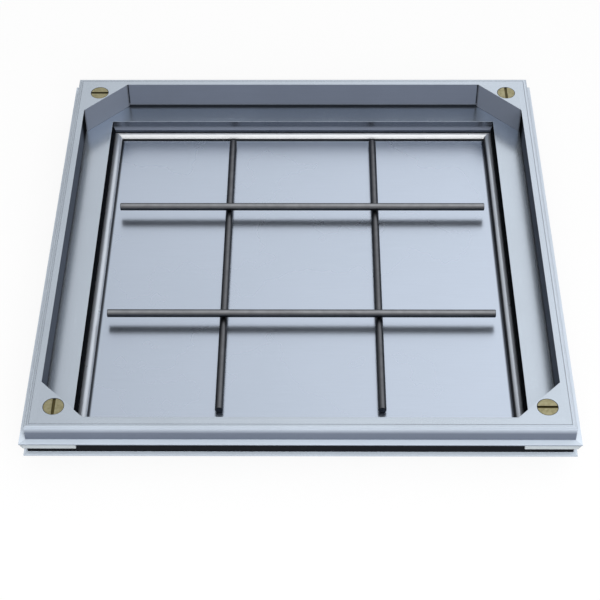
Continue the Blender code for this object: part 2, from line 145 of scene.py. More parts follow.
def break_edges(piece, width, segments, wanted):
    """Rounds the sharp edges of a piece that a test wants."""
    edit(piece)
    pick(piece, "edges", lambda edge: is_sharp(edge) and wanted(edge))
    bpy.ops.mesh.bevel(
        offset=width, offset_type="OFFSET", segments=segments, affect="EDGES", clamp_overlap=True)
    leave()


def shade(piece):
    """Smooth shading with the true corners kept, and with flat faces flat right up to their edges."""
    hold(piece)
    bpy.ops.object.shade_smooth_by_angle(angle=SMOOTH_ANGLE)
    flatten = piece.modifiers.new("flatten", "WEIGHTED_NORMAL")
    flatten.keep_sharp = True
    bpy.ops.object.modifier_apply(modifier=flatten.name)


def turned_copy(model, name, quarter_turns):
    """A shaded copy of a model with its own mesh, turned about the middle of the cover."""
    piece = bpy.data.objects.new(name, model.data.copy())
    bpy.context.scene.collection.objects.link(piece)
    piece.data.name = name
    piece.data.transform(Matrix.Rotation(quarter_turns * math.pi / 2, 4, "Z"))
    shade(piece)
    return piece


def fit(piece, body, cad_name, material):
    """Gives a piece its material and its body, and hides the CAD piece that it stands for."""
    piece.data.materials.clear()
    piece.data.materials.append(material)
    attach(piece, body)
    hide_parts(cad_name)


def new_group(name, inputs, outputs):
    """An empty shader node group with named value or vector sockets."""
    group = bpy.data.node_groups.new(name, "ShaderNodeTree")
    for socket, (kind, default) in inputs.items():
        made = group.interface.new_socket(socket, in_out="INPUT", socket_type=kind)
        if default is not None:
            made.default_value = default
    for socket in outputs:
        group.interface.new_socket(socket, in_out="OUTPUT", socket_type="NodeSocketFloat")
    return group, group.nodes.new("NodeGroupInput").outputs, group.nodes.new("NodeGroupOutput").inputs


def node(tree, kind, links=None, **settings):
    """A shader node with its properties set, and its inputs set or linked by name or number."""
    made = tree.nodes.new(kind)
    for setting, value in settings.items():
        setattr(made, setting, value)
    for socket, value in (links or {}).items():
        if isinstance(value, bpy.types.NodeSocket):
            tree.links.new(value, made.inputs[socket])
        else:
            made.inputs[socket].default_value = value
    return made


def calc(tree, operation, first, second=0.0):
    """The output of a math node."""
    return node(tree, "ShaderNodeMath", {0: first, 1: second}, operation=operation).outputs[0]


def stretch(tree, value, low, high, to_low=0.0, to_high=1.0):
    """A value taken from one range to another, and kept inside it."""
    made = node(tree, "ShaderNodeMapRange", {
        "Value": value, "From Min": low, "From Max": high, "To Min": to_low, "To Max": to_high})
    return made.outputs["Result"]


def noise(tree, place, scale, detail, roughness):
    """A noise value at a place, from its scale, detail and roughness."""
    made = node(tree, "ShaderNodeTexNoise", {
        "Vector": place, "Scale": scale, "Detail": detail, "Roughness": roughness})
    return made.outputs["Fac"]


def all_of(tree, first, *others):
    """Where several masks all hold: the masks multiplied together."""
    for other in others:
        first = calc(tree, "MULTIPLY", first, other)
    return first


def blend(tree, factor, first, second, blend_type="MIX"):
    """The output of a colour mix between two colours or colour sockets."""
    ends = [(*end, 1) if isinstance(end, tuple) else end for end in (first, second)]
    made = node(
        tree, "ShaderNodeMix", {"Factor": factor, 6: ends[0], 7: ends[1]},
        data_type="RGBA", blend_type=blend_type)
    return made.outputs[2]


def darker(colour, share):
    """A colour scaled by a share."""
    return tuple(share * part for part in colour)


LINE_SCALE = 900.0
LINE_STRETCH = (0.012, 1.0, 1.0)
LINE_NOISE = (4.0, 0.65)
LINE_SPAN = (0.25, 0.75)
BLOTCH_SCALE = 9.0
BLOTCH_NOISE = (4.0, 0.55)
CLOUD_SPAN = (0.3, 0.7)


def grain_group():
    """Drawn lines that run along X, and soft blotches, for rolled, drawn and extruded metal."""
    group, given, out = new_group(
        "drawn_grain",
        {"Vector": ("NodeSocketVector", None), "Line Scale": ("NodeSocketFloat", LINE_SCALE),
         "Blotch Scale": ("NodeSocketFloat", BLOTCH_SCALE)},
        ("Lines", "Blotches"))
    drawn = node(group, "ShaderNodeMapping", {"Vector": given["Vector"], "Scale": LINE_STRETCH})
    lines = noise(group, drawn.outputs[0], given["Line Scale"], *LINE_NOISE)
    blotches = noise(group, given["Vector"], given["Blotch Scale"], *BLOTCH_NOISE)
    group.links.new(stretch(group, lines, *LINE_SPAN), out["Lines"])
    group.links.new(stretch(group, blotches, *CLOUD_SPAN), out["Blotches"])
    return group


WEAR_RADIUS = 0.0012
WEAR_SAMPLES = 6
WEAR_CORNER = (0.995, 0.86)
WEAR_NOISE = (160.0, 3.0, 0.55)
WEAR_SPAN = (0.35, 0.62)


def wear_group():
    """A mask of the corners of a piece, broken up by noise, where handling has rubbed them bright."""
    group, given, out = new_group(
        "edge_wear",
        {"Vector": ("NodeSocketVector", None), "Radius": ("NodeSocketFloat", WEAR_RADIUS)}, ("Wear",))
    rounded = node(group, "ShaderNodeBevel", {"Radius": given["Radius"]}, samples=WEAR_SAMPLES)
    flat = node(group, "ShaderNodeNewGeometry")
    likeness = node(
        group, "ShaderNodeVectorMath", {0: rounded.outputs[0], 1: flat.outputs["Normal"]},
        operation="DOT_PRODUCT")
    corner = stretch(group, likeness.outputs["Value"], *WEAR_CORNER)
    broken = stretch(group, noise(group, given["Vector"], *WEAR_NOISE), *WEAR_SPAN)
    group.links.new(all_of(group, corner, broken), out["Wear"])
    return group


GRAIN = grain_group()
WEAR = wear_group()


def new_material(name):
    """A new material, its tree, its Principled shader, and its object coordinates and normal."""
    material = bpy.data.materials.new(name)
    material.use_nodes = True
    tree = material.node_tree
    place = node(tree, "ShaderNodeTexCoord").outputs
    return material, tree, tree.nodes["Principled BSDF"], place


def feed(tree, shader, colour, roughness, height, bump_strength, bump_depth):
    """Links a colour, a roughness and a bump height to a Principled shader."""
    tree.links.new(colour, shader.inputs["Base Color"])
    tree.links.new(roughness, shader.inputs["Roughness"])
    bump = node(
        tree, "ShaderNodeBump", {"Height": height, "Strength": bump_strength, "Distance": bump_depth})
    tree.links.new(bump.outputs[0], shader.inputs["Normal"])


def grain_along(tree, place, along, line_scale=LINE_SCALE, blotch_scale=BLOTCH_SCALE):
    """The lines and blotches of the grain group, with the lines along X or Y."""
    turn = (0, 0, math.pi / 2 if along == "y" else 0)
    turned = node(tree, "ShaderNodeMapping", {"Vector": place["Object"], "Rotation": turn})
    made = node(
        tree, "ShaderNodeGroup",
        {"Vector": turned.outputs[0], "Line Scale": line_scale, "Blotch Scale": blotch_scale},
        node_tree=GRAIN)
    return made.outputs["Lines"], made.outputs["Blotches"]


def rubbed(tree, place, share):
    """The wear mask of the corners, at a share of its strength."""
    made = node(tree, "ShaderNodeGroup", {"Vector": place["Object"]}, node_tree=WEAR)
    return calc(tree, "MULTIPLY", made.outputs["Wear"], share)


def split(tree, vector):
    """The X, Y and Z of a vector."""
    return node(tree, "ShaderNodeSeparateXYZ", {0: vector}).outputs


def uneven(tree, colour, lines, blotches, line_share, blotch_share):
    """A colour made a little lighter and darker by lines and blotches."""
    lined = stretch(tree, lines, 0, 1, 1 - line_share, 1 + line_share)
    blotched = stretch(tree, blotches, 0, 1, 1 - blotch_share, 1 + blotch_share)
    level = calc(tree, "MULTIPLY", lined, blotched)
    grey = node(tree, "ShaderNodeCombineColor", {0: level, 1: level, 2: level})
    return blend(tree, 1.0, colour, grey.outputs[0], "MULTIPLY")


RUBBED_COLOUR = (0.70, 0.75, 0.82)
RUBBED_SHARE = 0.12
ALUMINIUM_METAL = 0.9
ALUMINIUM_UNEVEN = (0.03, 0.03)
ALUMINIUM_BUMP = (0.03, 0.0002)
BRUSHED_ROUGHNESS = (0.20, 0.28)
SKIN_ROUGHNESS = 0.35


def aluminium(name, along, skin, layers):
    """Aluminium with a dull skin, layers of painted light and shade, and a brushed face where it shines.
    """
    material, tree, shader, place = new_material(name)
    lines, blotches = grain_along(tree, place, along)
    painted, shine = layers(tree, split(tree, place["Normal"])["Z"], split(tree, place["Object"]))
    colour = skin
    for mask, layer in painted:
        colour = blend(tree, mask, colour, layer)
    colour = uneven(tree, colour, lines, blotches, *ALUMINIUM_UNEVEN)
    colour = blend(tree, rubbed(tree, place, RUBBED_SHARE), colour, RUBBED_COLOUR)
    brushed = stretch(tree, calc(tree, "ADD", lines, blotches), 0, 2, *BRUSHED_ROUGHNESS)
    roughness = calc(tree, "ADD", brushed, stretch(tree, shine, 0, 1, SKIN_ROUGHNESS, 0.0))
    feed(tree, shader, colour, roughness, lines, *ALUMINIUM_BUMP)
    tree.links.new(calc(tree, "MULTIPLY", shine, ALUMINIUM_METAL), shader.inputs["Metallic"])
    shader.inputs["Specular IOR Level"].default_value = 0.0
    return material


def reach_of(tree, spot):
    """The distance of a place from the middle, square-wise."""
    return calc(tree, "MAXIMUM", calc(tree, "ABSOLUTE", spot["X"]), calc(tree, "ABSOLUTE", spot["Y"]))


# Each pair is where a painted layer starts and where it is full: a height or a reach in metres, or a
# slope from 0 on an upright face to 1 on a flat one. A pair for the two flanges has the lower one first.
JOINT_REACH = 0.340
JOINT_WIDTH = (0.0007, 0.0003)
SLOT_TOP = (0.0527, 0.0521)
SLOT_LOW = (0.0291, 0.0297)
SLOT_REACH = (0.3452, 0.3456)
LIP_LOW = 0.070
LIP_RISE = 0.002
# Where the lip's wall is painted lighter as light, and how much of that painted light its rounded sides
# get.
LIP_LIGHT_BAND = (0.0665, 0.0748)
LIP_LIT_CROWN = (0.75, 1.0)
LIP_SIDE_LIGHT = {"x": 0.64, "y": 0.95}
FLANGE_HEIGHTS = (0.0347, 0.0477)
FLANGE_ROOT = 0.3464
FLANGE_ROOT_ENDS = (0.3495, 0.3469)
FLANGE_TURN = (0.05, 0.9)
FLANGE_EDGE_LIGHT = (0.5, 0.12)
LEANS_UP = (0.08, 0.3)
LIES_FLAT = (0.9, 0.985)


def frame_layers(along):
    """The frame's layers: painted shade in the slot and joint, painted light on the lip and flanges."""
    def layers(tree, facing, spot):
        height = spot["Z"]
        reach = reach_of(tree, spot)
        # Painted shade: the slot between the flanges, below the upper flange, is darkened to near black.
        slot = all_of(
            tree, stretch(tree, height, *SLOT_TOP), stretch(tree, height, *SLOT_LOW),
            stretch(tree, reach, *SLOT_REACH))
        # Painted light on the lip: its crown and the top band of its wall get the lip's colour, less on
        # the rounded sides.
        side_share = LIP_SIDE_LIGHT[along]
        crown = all_of(
            tree, stretch(tree, facing, *LEANS_UP), stretch(tree, facing, *LIP_LIT_CROWN, side_share, 1.0))
        lip = calc(tree, "MAXIMUM", crown, stretch(tree, height, *LIP_LIGHT_BAND, 0.0, side_share))
        # Painted light on the flanges: full on their tops, a share on their front edges, none near the
        # wall's foot, where the dark skin stands as painted shade.
        upper = stretch(tree, height, *FLANGE_HEIGHTS)
        root_end = stretch(tree, upper, 0, 1, *FLANGE_ROOT_ENDS)
        edge_share = stretch(tree, upper, 0, 1, *FLANGE_EDGE_LIGHT)
        flange = all_of(
            tree, stretch(tree, reach, FLANGE_ROOT, root_end),
            stretch(tree, facing, *FLANGE_TURN, edge_share, 1.0))
        # Painted shade along the joint beside the tray's rim.
        joint_ends = (JOINT_REACH + width for width in JOINT_WIDTH)
        is_lip = stretch(tree, height, LIP_LOW, LIP_LOW + LIP_RISE)
        joint = all_of(tree, stretch(tree, reach, *joint_ends, 0.0, JOINT_SHADE_SHARE[along]), is_lip)
        painted = [
            (slot, FRAME_SLOT_SHADE), (lip, FRAME_LIT_COLOUR), (flange, FLANGE_LIT_COLOUR[along]), (joint, JOINT_SHADE)]
        return painted, all_of(tree, stretch(tree, facing, *LIES_FLAT), is_lip)
    return layers


frame_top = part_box("frame_rail_front")[1].z
frame_model = copy_of("frame_rail_front", "frame_model")
close_mitres(frame_model, "frame_rail_front")
break_edges(
    frame_model, FRAME_EDGE_BREAK, 2,
    lambda edge: runs_along(edge, X_WAY) and edge.verts[0].co.z < frame_top - MERGE_DISTANCE)
break_edges(
    frame_model, JOINT_EDGE_BREAK, 1,
    lambda edge: runs_along(edge, X_WAY) and edge.verts[0].co.z > LIP_LOW)
# Two materials, for the front and back lengths and for the side lengths, with different painted light and
# shade.
frame_metal = {
    along: aluminium(f"frame_aluminium_painted_light_{along}", along, FRAME_SKIN_AND_SHADE, frame_layers(along))
    for along in "xy"}
for turns, side in enumerate(SIDES):
    rail = turned_copy(frame_model, f"frame_length_{side}", turns)
    fit(rail, "frame", f"frame_rail_{side}", frame_metal["xy"[turns % 2]])
bpy.data.objects.remove(frame_model)

# Corner cleats: pale nylon angles pushed round each corner under the upper flange, to join the rails
# and space the flanges. They are moulded, with rounded corners and a fine sparked skin.
CORNERS = ("back_right", "back_left", "front_left", "front_right")
CLEAT_COLOUR = (0.345, 0.38, 0.405)
CLEAT_EDGE_BREAK = 0.0006
CLEAT_ROUGHNESS = 0.45
CLEAT_GRAIN_SCALE = 1400.0
CLEAT_GRAIN_DEPTH = 0.0001
MOULD_NOISE = (2.0, 0.55)
MOULD_BUMP = 0.35
MOULD_ROUGHNESS_SPREAD = 0.08
MOULD_DIRT_NOISE = (38.0, 5.0, 0.6)
MOULD_DIRT_SPAN = (0.35, 0.75)
MOULD_DIRT_SHARE = 0.25
MOULD_DIRT_LEVEL = 0.72


def moulded(name, colour, roughness, grain_scale, grain_depth):
    """Moulded nylon or rubber: an even colour with a fine sparked skin and a little handling dirt."""
    material, tree, shader, place = new_material(name)
    skin = noise(tree, place["Object"], grain_scale, *MOULD_NOISE)
    clouds = noise(tree, place["Object"], *MOULD_DIRT_NOISE)
    dirt = stretch(tree, clouds, *MOULD_DIRT_SPAN, 0.0, MOULD_DIRT_SHARE)
    colour = blend(tree, dirt, colour, darker(colour, MOULD_DIRT_LEVEL))
    spread = (roughness - MOULD_ROUGHNESS_SPREAD, roughness + MOULD_ROUGHNESS_SPREAD)
    feed(tree, shader, colour, stretch(tree, skin, *CLOUD_SPAN, *spread), skin, MOULD_BUMP, grain_depth)
    return material


cleat_model = copy_of("corner_cleat_back_right", "cleat_model")
break_edges(cleat_model, CLEAT_EDGE_BREAK, 3, lambda edge: True)
nylon = moulded("cleat_nylon", CLEAT_COLOUR, CLEAT_ROUGHNESS, CLEAT_GRAIN_SCALE, CLEAT_GRAIN_DEPTH)
for turns, corner in enumerate(CORNERS):
    cleat = turned_copy(cleat_model, f"corner_joiner_{corner}", turns)
    fit(cleat, "frame", f"corner_cleat_{corner}", nylon)
bpy.data.objects.remove(cleat_model)

# Seat seals: flat strips of black rubber that the tray's ledge presses on. They are cut from an
# extruded band, stuck to the frame's seat and mitred at the corners.
SEAL_COLOUR = (0.018, 0.018, 0.019)
SEAL_EDGE_BREAK = 0.0004
SEAL_ROUGHNESS = 0.68
SEAL_GRAIN_SCALE = 900.0
SEAL_GRAIN_DEPTH = 0.0002
seal_model = copy_of("seat_seal_front", "seal_model")
close_mitres(seal_model, "seat_seal_front")
break_edges(seal_model, SEAL_EDGE_BREAK, 2, lambda edge: runs_along(edge, X_WAY))
rubber = moulded("seal_rubber", SEAL_COLOUR, SEAL_ROUGHNESS, SEAL_GRAIN_SCALE, SEAL_GRAIN_DEPTH)
for turns, side in enumerate(SIDES):
    strip = turned_copy(seal_model, f"seat_strip_{side}", turns)
    fit(strip, "frame", f"seat_seal_{side}", rubber)
bpy.data.objects.remove(seal_model)

# Lock nuts: square nuts of plated steel, welded under the seat at each corner for the lock bolts. Their
# corners are chamfered by the press.
PLATED_COLOUR = (0.50, 0.50, 0.49)
PLATED_SHADE = 0.7
PLATED_NOISE = (210.0, 4.0, 0.6)
PLATED_RUBBED = (0.8, 0.8, 0.8)
PLATED_RUBBED_SHARE = 0.6
PLATED_ROUGHNESS = (0.42, 0.28)
PLATED_BUMP = (0.1, 0.0001)
NUT_EDGE_BREAK = 0.0005


def plated_steel(name):
    """Zinc plated steel: a pale grey with cloudy spangle, worn bright on the corners."""
    material, tree, shader, place = new_material(name)
    cloud = noise(tree, place["Object"], *PLATED_NOISE)
    clouded = stretch(tree, cloud, *CLOUD_SPAN)
    colour = blend(tree, clouded, darker(PLATED_COLOUR, PLATED_SHADE), PLATED_COLOUR)
    colour = blend(tree, rubbed(tree, place, PLATED_RUBBED_SHARE), colour, PLATED_RUBBED)
    feed(tree, shader, colour, stretch(tree, clouded, 0, 1, *PLATED_ROUGHNESS), cloud, *PLATED_BUMP)
    shader.inputs["Metallic"].default_value = 1.0
    return material


nut_model = copy_of("lock_nut_back_right", "nut_model")
break_edges(nut_model, NUT_EDGE_BREAK, 2, lambda edge: True)
plated = plated_steel("lock_steel")
for turns, corner in enumerate(CORNERS):
    nut = turned_copy(nut_model, f"square_nut_{corner}", turns)
    fit(nut, "frame", f"lock_nut_{corner}", plated)
bpy.data.objects.remove(nut_model)

# Tray rails: four mitred lengths of a second aluminium extrusion, with a rim, a tall wall with a keying
# groove at its foot, a wide ledge, and the box wall with its keying rib. The mitres are welded up. Light
# and shade are painted on: the tops are painted lighter as light, and so is the ledge in front of the
# back gussets; the walls keep a dull skin darkened as painted shade, most on the side lengths; the
# groove, the ledge at the foot of the front and back walls, the walls beside the gussets and the joint
# are darkened as painted shade; the box wall below the ledge is painted lighter as light on the front
# and back lengths, and near black as shade on the side lengths.
# Painted light: the faces that look up get this lighter colour, on the rails and on the gussets' tops.
TRAY_LIT_COLOUR = (0.50, 0.56, 0.635)
# The walls' dull skin, darkened as painted shade, more on the side lengths.
TRAY_SKIN_AND_SHADE = {"x": (0.155, 0.18, 0.235), "y": (0.10, 0.118, 0.152)}
# Painted shade in the groove at the wall's foot: near black on the side lengths, near the skin's colour
# on the front and back.
TRAY_GROOVE_SHADE = {"x": (0.17, 0.195, 0.245), "y": (0.03, 0.034, 0.042)}
# The box wall below the ledge: painted lighter as light on the front and back, near black as shade on the
# side lengths.
TRAY_STEP_LIGHT_AND_SHADE = {"x": (0.27, 0.31, 0.39), "y": (0.006, 0.007, 0.009)}
TRAY_STEP_SHINE = {"x": 1.0, "y": 0.0}
# On the front and back the rib keeps the skin's colour, unlike the rest of the painted step.
TRAY_RIB_SKIN_SHARE = {"x": 1.0, "y": 0.0}
TRAY_EDGE_BREAK = 0.0004
# Pairs as for the frame: where a painted layer starts, and where it is full.
GROOVE_SHADE_FADE = {"x": (0.0428, 0.0375), "y": (0.0480, 0.0400)}
BELOW_LEDGE = (0.0354, 0.0350)
AT_LEDGE = (0.0365, 0.0358)
LEDGE_TOP = (0.0375, 0.0365)
# Painted shade on the ledge next to the wall's foot, on the front and back lengths only.
LEDGE_CORNER_SHADE = (0.02, 0.024, 0.03)
LEDGE_CORNER_REACH = (0.3262, 0.3302)
LEDGE_CORNER_SHARE = {"x": 0.85, "y": 0.0}
# Painted light on the ledge in front of the back gussets' diagonal faces.
LEDGE_PAINTED_LIGHT = (0.75, 0.84, 0.95)
LEDGE_LIGHT_REACH = (0.055, 0.030)
LEDGE_LIGHT_SIDES = (-0.004, 0.012)
# Painted shade on the walls beside the gussets: a thin line on the front and back, a wide wedge at the
# back of the sides.
SEAM_SHADE = (0.006, 0.007, 0.009)
SEAM_SHADE_REACH = {"x": (0.0025, 0.0010), "y": (0.045, 0.024)}
WALL_FACE = (0.3340, 0.3330)
LOOKS_UP = (0.6, 0.85)
UPRIGHT = (0.5, 0.3)
RIB_TURN = (0.2, 0.4)
gusset_low, gusset_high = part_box("corner_gusset_back_right")
diagonal_foot = gusset_low.x + gusset_high.y


def tray_layers(along):
    """The tray's layers of painted shade and light: groove, ledge foot, seams, joint, step and tops."""
    def layers(tree, facing, spot):
        height = spot["Z"]
        reach = reach_of(tree, spot)
        sideways = calc(tree, "ABSOLUTE", spot["X"])
        # Painted light: the faces that look up get the lighter colour.
        looks_up = stretch(tree, facing, *LOOKS_UP)
        below = stretch(tree, height, *BELOW_LEDGE)
        above = calc(tree, "SUBTRACT", 1.0, below)
        # The step below the ledge is painted lighter as light on the front and back, and near black as
        # shade on the sides.
        rib = stretch(tree, facing, *RIB_TURN, 0.0, TRAY_RIB_SKIN_SHARE[along])
        step = all_of(tree, below, calc(tree, "SUBTRACT", 1.0, rib))
        # Painted shade in the groove at the wall's foot, fading up the wall.
        groove = all_of(tree, stretch(tree, height, *GROOVE_SHADE_FADE[along]), above)
        # Painted shade along the joint beside the frame's lip.
        joint_ends = (JOINT_REACH - width for width in JOINT_WIDTH)
        joint = stretch(tree, reach, *joint_ends, 0.0, JOINT_SHADE_SHARE[along])
        # Painted shade on the walls where they meet the gussets.
        seam_ends = (gusset_low.x - distance for distance in SEAM_SHADE_REACH[along])
        seam = all_of(
            tree, stretch(tree, sideways if along == "x" else spot["Y"], *seam_ends),
            stretch(tree, facing, *UPRIGHT), stretch(tree, reach, *WALL_FACE), above)
        # Painted light on the ledge in front of the back gussets.
        bright_ends = (diagonal_foot - distance for distance in LEDGE_LIGHT_REACH)
        bright_sides = (gusset_low.x + distance for distance in LEDGE_LIGHT_SIDES)
        bright = all_of(
            tree, stretch(tree, calc(tree, "ADD", sideways, spot["Y"]), *bright_ends),
            stretch(tree, sideways, *bright_sides), stretch(tree, height, *LEDGE_TOP), looks_up)
        # Painted shade on the ledge where it meets the wall.
        corner = all_of(
            tree, stretch(tree, reach, *LEDGE_CORNER_REACH, 0.0, LEDGE_CORNER_SHARE[along]),
            stretch(tree, height, *AT_LEDGE))
        painted = [
            (groove, TRAY_GROOVE_SHADE[along]), (step, TRAY_STEP_LIGHT_AND_SHADE[along]), (looks_up, TRAY_LIT_COLOUR),
            (bright, LEDGE_PAINTED_LIGHT), (corner, LEDGE_CORNER_SHADE), (seam, SEAM_SHADE), (joint, JOINT_SHADE)]
        shine = calc(
            tree, "MAXIMUM", stretch(tree, facing, *LIES_FLAT),
            calc(tree, "MULTIPLY", step, TRAY_STEP_SHINE[along]))
        return painted, shine
    return layers


rim_reach = -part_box("tray_rail_front")[0].y
tray_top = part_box("tray_rail_front")[1].z


def is_rim_joint(edge):
    """Whether an edge is the outer top edge of the rim, beside the frame's lip."""
    spot = edge.verts[0].co
    at_joint = spot.z > tray_top - MERGE_DISTANCE and spot.y < MERGE_DISTANCE - rim_reach
    return at_joint and runs_along(edge, X_WAY)


tray_model = copy_of("tray_rail_front", "tray_model")
close_mitres(tray_model, "tray_rail_front")
break_edges(
    tray_model, TRAY_EDGE_BREAK, 2,
    lambda edge: runs_along(edge, X_WAY) and edge.verts[0].co.z < tray_top - MERGE_DISTANCE)
break_edges(tray_model, JOINT_EDGE_BREAK, 1, is_rim_joint)
# Two materials: the side lengths' one is painted darker as shade than the front and back lengths' one.
tray_metal = {
    along: aluminium(f"tray_aluminium_painted_light_{along}", along, TRAY_SKIN_AND_SHADE[along], tray_layers(along))
    for along in "xy"}
for turns, side in enumerate(SIDES):
    rail = turned_copy(tray_model, f"tray_length_{side}", turns)
    fit(rail, "cover", f"tray_rail_{side}", tray_metal["xy"[turns % 2]])
bpy.data.objects.remove(tray_model)

# Base plate: the flat sheet of aluminium in the bottom of the tray that carries the infill. It is
# rolled sheet with the grain from side to side, cut square and laid on the foot of the rails. A line of
# painted shade runs round its edge, where the beads meet it.
PLATE_COLOUR = (0.505, 0.57, 0.675)
# Painted shade: a dark line round the plate's edge, at the inner feet of the beads.
PLATE_EDGE_SHADE = (0.02, 0.023, 0.03)
PLATE_EDGE_SHADE_REACH = (0.2751, 0.2774)
PLATE_EDGE_SHADE_SHARE = 0.95
PLATE_LINE_SCALE = 1500.0
PLATE_BLOTCH_SCALE = 5.0
PLATE_UNEVEN = (0.03, 0.02)
PLATE_ROUGHNESS = (0.265, 0.285)
PLATE_BUMP = (0.001, 0.0001)
PLATE_EDGE_BREAK = 0.0003


def rolled_sheet(name, colour):
    """Rolled aluminium sheet: fine lines along the roll, and cloudy marks from handling."""
    material, tree, shader, place = new_material(name)
    lines, blotches = grain_along(tree, place, "x", PLATE_LINE_SCALE, PLATE_BLOTCH_SCALE)
    reach = reach_of(tree, split(tree, place["Object"]))
    # Painted shade: the plate is darkened in a line along its edge, where the beads meet it.
    dirt = stretch(tree, reach, *PLATE_EDGE_SHADE_REACH, 0.0, PLATE_EDGE_SHADE_SHARE)
    colour = blend(tree, dirt, uneven(tree, colour, lines, blotches, *PLATE_UNEVEN), PLATE_EDGE_SHADE)
    feed(tree, shader, colour, stretch(tree, blotches, 0, 1, *PLATE_ROUGHNESS), lines, *PLATE_BUMP)
    shader.inputs["Metallic"].default_value = 1.0
    return material


sheet = copy_of("base_plate", "bed_sheet")
break_edges(sheet, PLATE_EDGE_BREAK, 2, lambda edge: True)
shade(sheet)
fit(sheet, "cover", "base_plate", rolled_sheet("plate_aluminium", PLATE_COLOUR))

# Bed beads: bright half-round strips of aluminium that hold the edges of the plate down, mitred at the
# corners. Each is drawn, and laid with its flat side on the plate. Light and shade are painted on: the
# crowns are lighter as light, near white on the front and back strips; the flanks are darker and both
# feet near black as shade, reaching highest on the right strip's inner side; the side strips are darker.
# Painted light and shade: lighter crowns, near white on the front and back strips, darker flanks, near
# black feet.
BEAD_LIT_COLOUR = {"x": (0.96, 0.98, 1.0), "y": (0.51, 0.555, 0.62)}
BEAD_FLANK_SHADE = {"x": (0.14, 0.15, 0.17), "y": (0.115, 0.13, 0.16)}
BEAD_FOOT_SHADE = (0.015, 0.016, 0.02)
BEAD_INNER_SHADE_RISE = {"front": 0.10, "right": 0.80, "back": 0.10, "left": 0.12}
BEAD_OUTER_SHADE_RISE = {"x": 0.12, "y": 0.16}
BEAD_METAL = {"x": 0.5, "y": 0.6}
BEAD_LIT_CROWN = (0.1, 0.45)
BEAD_UNSHADED = (0.05, 0.3)
BEAD_NOISE = (60.0, 5.0, 0.6)
BEAD_HAZE_LEVEL = 0.95
BEAD_ROUGHNESS = (0.34, 0.27)
BEAD_BUMP = (0.04, 0.0002)
BEAD_SIDES = 64
BEAD_STOCK = 3
bead_low, bead_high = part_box("bed_bead_front")
bead_radius = (bead_high.y - bead_low.y) / 2
bead_height = bead_high.z - bead_low.z
bead_middle = (bead_low.y + bead_high.y) / 2


def drawn_bright(name, along, inner_shade_rise):
    """Bright drawn metal with a faint haze, painted light on top, painted shade on flanks and feet."""
    material, tree, shader, place = new_material(name)
    haze = noise(tree, place["Object"], *BEAD_NOISE)
    hazy = stretch(tree, haze, *CLOUD_SPAN)
    facing = split(tree, place["Normal"])["Z"]
    outward = node(
        tree, "ShaderNodeVectorMath", {0: place["Normal"], 1: place["Object"]}, operation="DOT_PRODUCT")
    # Painted shade at the feet, reaching higher up the inner or the outer flank.
    shade_rise = stretch(
        tree, outward.outputs["Value"], bead_middle, -bead_middle, inner_shade_rise, BEAD_OUTER_SHADE_RISE[along])
    # Painted light on the crown, painted shade on the flanks, and near black painted shade at the feet.
    crown = stretch(tree, facing, *BEAD_LIT_CROWN)
    unshaded = stretch(tree, calc(tree, "SUBTRACT", facing, shade_rise), *BEAD_UNSHADED)
    shine = blend(tree, hazy, darker(BEAD_LIT_COLOUR[along], BEAD_HAZE_LEVEL), BEAD_LIT_COLOUR[along])
    colour = blend(tree, unshaded, BEAD_FOOT_SHADE, blend(tree, crown, BEAD_FLANK_SHADE[along], shine))
    feed(tree, shader, colour, stretch(tree, hazy, 0, 1, *BEAD_ROUGHNESS), haze, *BEAD_BUMP)
    shader.inputs["Metallic"].default_value = BEAD_METAL[along]
    return material


bpy.ops.object.select_all(action="DESELECT")
bpy.ops.mesh.primitive_cylinder_add(
    vertices=BEAD_SIDES, radius=bead_radius, depth=-BEAD_STOCK * bead_low.y,
    location=(0, bead_middle, bead_low.z), rotation=(0, math.pi / 2, 0))
bead_model = bpy.context.object
bpy.ops.object.transform_apply(location=True, rotation=True, scale=True)
edit(bead_model)
bpy.ops.mesh.select_all(action="SELECT")
bpy.ops.transform.resize(
    value=(1, 1, bead_height / bead_radius), center_override=(0, bead_middle, bead_low.z))
bpy.ops.mesh.bisect(
    plane_co=(0, bead_middle, bead_low.z), plane_no=(0, 0, -1), use_fill=True, clear_outer=True)
for way in (-1, 1):
    bpy.ops.mesh.select_all(action="SELECT")
    bpy.ops.mesh.bisect(plane_co=(0, 0, 0), plane_no=(way, 1, 0), use_fill=True, clear_outer=True)
leave()
for turns, side in enumerate(SIDES):
    bead = turned_copy(bead_model, f"half_round_{side}", turns)
    # Each strip has its own material, with its own height of painted shade at the inner foot.
    bead_metal = drawn_bright(f"bead_aluminium_painted_light_{side}", "xy"[turns % 2], BEAD_INNER_SHADE_RISE[side])
    fit(bead, "cover", f"bed_bead_{side}", bead_metal)
bpy.data.objects.remove(bead_model)

# Bed rods: four lengths of dark rolled steel rod that reinforce the infill. Two lie on the plate and
# two cross on top of them. The ends are sheared and just rounded, and a paler highlight is painted along
# the upper side of each that faces the front, paler on the cross rods.
ROD_COLOUR = (0.042, 0.048, 0.059)
# Painted highlight: a paler colour on the side of each rod that faces up and to the front, paler on the
# cross rods.
ROD_HIGHLIGHT = {"x": (0.33, 0.34, 0.36), "y": (0.19, 0.195, 0.21)}
ROD_HIGHLIGHT_WAY = (0.0, -0.57, 0.82)
ROD_HIGHLIGHT_TURN = (0.55, 0.97)
ROD_LINE_SCALE = 1300.0
ROD_BLOTCH_SCALE = 90.0
ROD_UNEVEN = (0.06, 0.08)
ROD_ROUGHNESS = (0.40, 0.30)
ROD_BUMP = (0.1, 0.0001)
ROD_SIDES = 48
ROD_END_ROUND = 0.0009


